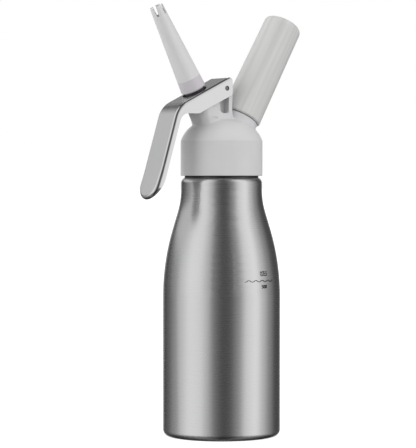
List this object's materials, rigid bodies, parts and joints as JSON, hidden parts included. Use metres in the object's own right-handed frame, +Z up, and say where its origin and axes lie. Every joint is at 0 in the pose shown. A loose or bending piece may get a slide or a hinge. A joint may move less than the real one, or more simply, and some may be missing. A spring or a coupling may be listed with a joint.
{
  "type": "whipped cream dispenser",
  "caption": "Pressure bottle with a screw-on head, squeeze lever, toothed decorator tip and gas charger holder.",
  "frame": {"origin": "centre of the bottle's flat base, on the bottle's axis", "axes": "+Z up along the bottle's axis, lever and tip towards -X, charger holder towards +X; XZ is the plane of symmetry"},
  "size_m": [0.1215, 0.0796, 0.2918],
  "materials": {
    "steel": "brushed",
    "lever_steel": "brushed",
    "bright_steel": "polished",
    "head_plastic": "satin",
    "tip_plastic": "satin",
    "insert_metal": "satin",
    "seal": "matte"
  },
  "bodies": {
    "bottle": {"bottle": "steel"},
    "gasket": {"head_gasket": "seal"},
    "head": {"head_body": "head_plastic", "head_thread_ring": "bright_steel", "lever_pin": "bright_steel", "spring_washer": "bright_steel", "valve_spring": "bright_steel", "charger_port": "bright_steel", "port_ring": "seal", "piercing_pin": "bright_steel", "charger_seal": "seal", "check_valve": "seal"},
    "lever": {"lever": "lever_steel"},
    "stem": {"valve_stem": "bright_steel", "valve_seal": "seal", "stem_rings": "seal", "push_collar": "insert_metal"},
    "tip_insert": {"tip_thread_insert": "insert_metal"},
    "tip": {"decorator_tip": "tip_plastic"},
    "charger": {"gas_charger": "bright_steel"},
    "holder": {"charger_holder": "head_plastic", "holder_thread_sleeve": "bright_steel"}
  },
  "joints": [
    {"name": "head_lift", "type": "slide", "parent": "bottle", "child": "gasket", "axis": [0, 0, 1], "range_m": [0, 0.009]},
    {"name": "head_spin", "type": "hinge", "parent": "gasket", "child": "head", "pos_m": [0, 0, 0.19], "axis": [0, 0, 1], "range_deg": [0, 1083]},
    {"name": "lever_pivot", "type": "hinge", "parent": "head", "child": "lever", "pos_m": [-0.0029, 0, 0.2358], "axis": [0, -1, 0], "range_deg": [0, 10], "stiffness_Nm_per_rad": 0.63, "springref_deg": -22.92},
    {"name": "valve_slide", "type": "slide", "parent": "head", "child": "stem", "axis": [0.4741, 0, -0.8805], "range_m": [0, 0.0032], "deforming": ["valve_spring"]},
    {"name": "tip_lift", "type": "slide", "parent": "stem", "child": "tip_insert", "axis": [-0.4741, 0, 0.8805], "range_m": [0, 0.0072]},
    {"name": "tip_spin", "type": "hinge", "parent": "tip_insert", "child": "tip", "pos_m": [0, 0, 0.1932], "axis": [-0.4741, 0, 0.8805], "range_deg": [0, 1733]},
    {"name": "charger_lift", "type": "slide", "parent": "head", "child": "charger", "axis": [0.4863, 0, 0.8738], "range_m": [0, 0.009]},
    {"name": "holder_spin", "type": "hinge", "parent": "charger", "child": "holder", "pos_m": [0, 0, 0.1895], "axis": [0.4863, 0, 0.8738], "range_deg": [0, 2166]}
  ],
  "couplings": [
    {"joint": "head_spin", "follows": "head_lift", "rad_per_m": 2094.4},
    {"joint": "valve_slide", "follows": "lever_pivot", "m_per_rad": 0.018},
    {"joint": "tip_spin", "follows": "tip_lift", "rad_per_m": 4188.8},
    {"joint": "holder_spin", "follows": "charger_lift", "rad_per_m": 4188.8}
  ]
}
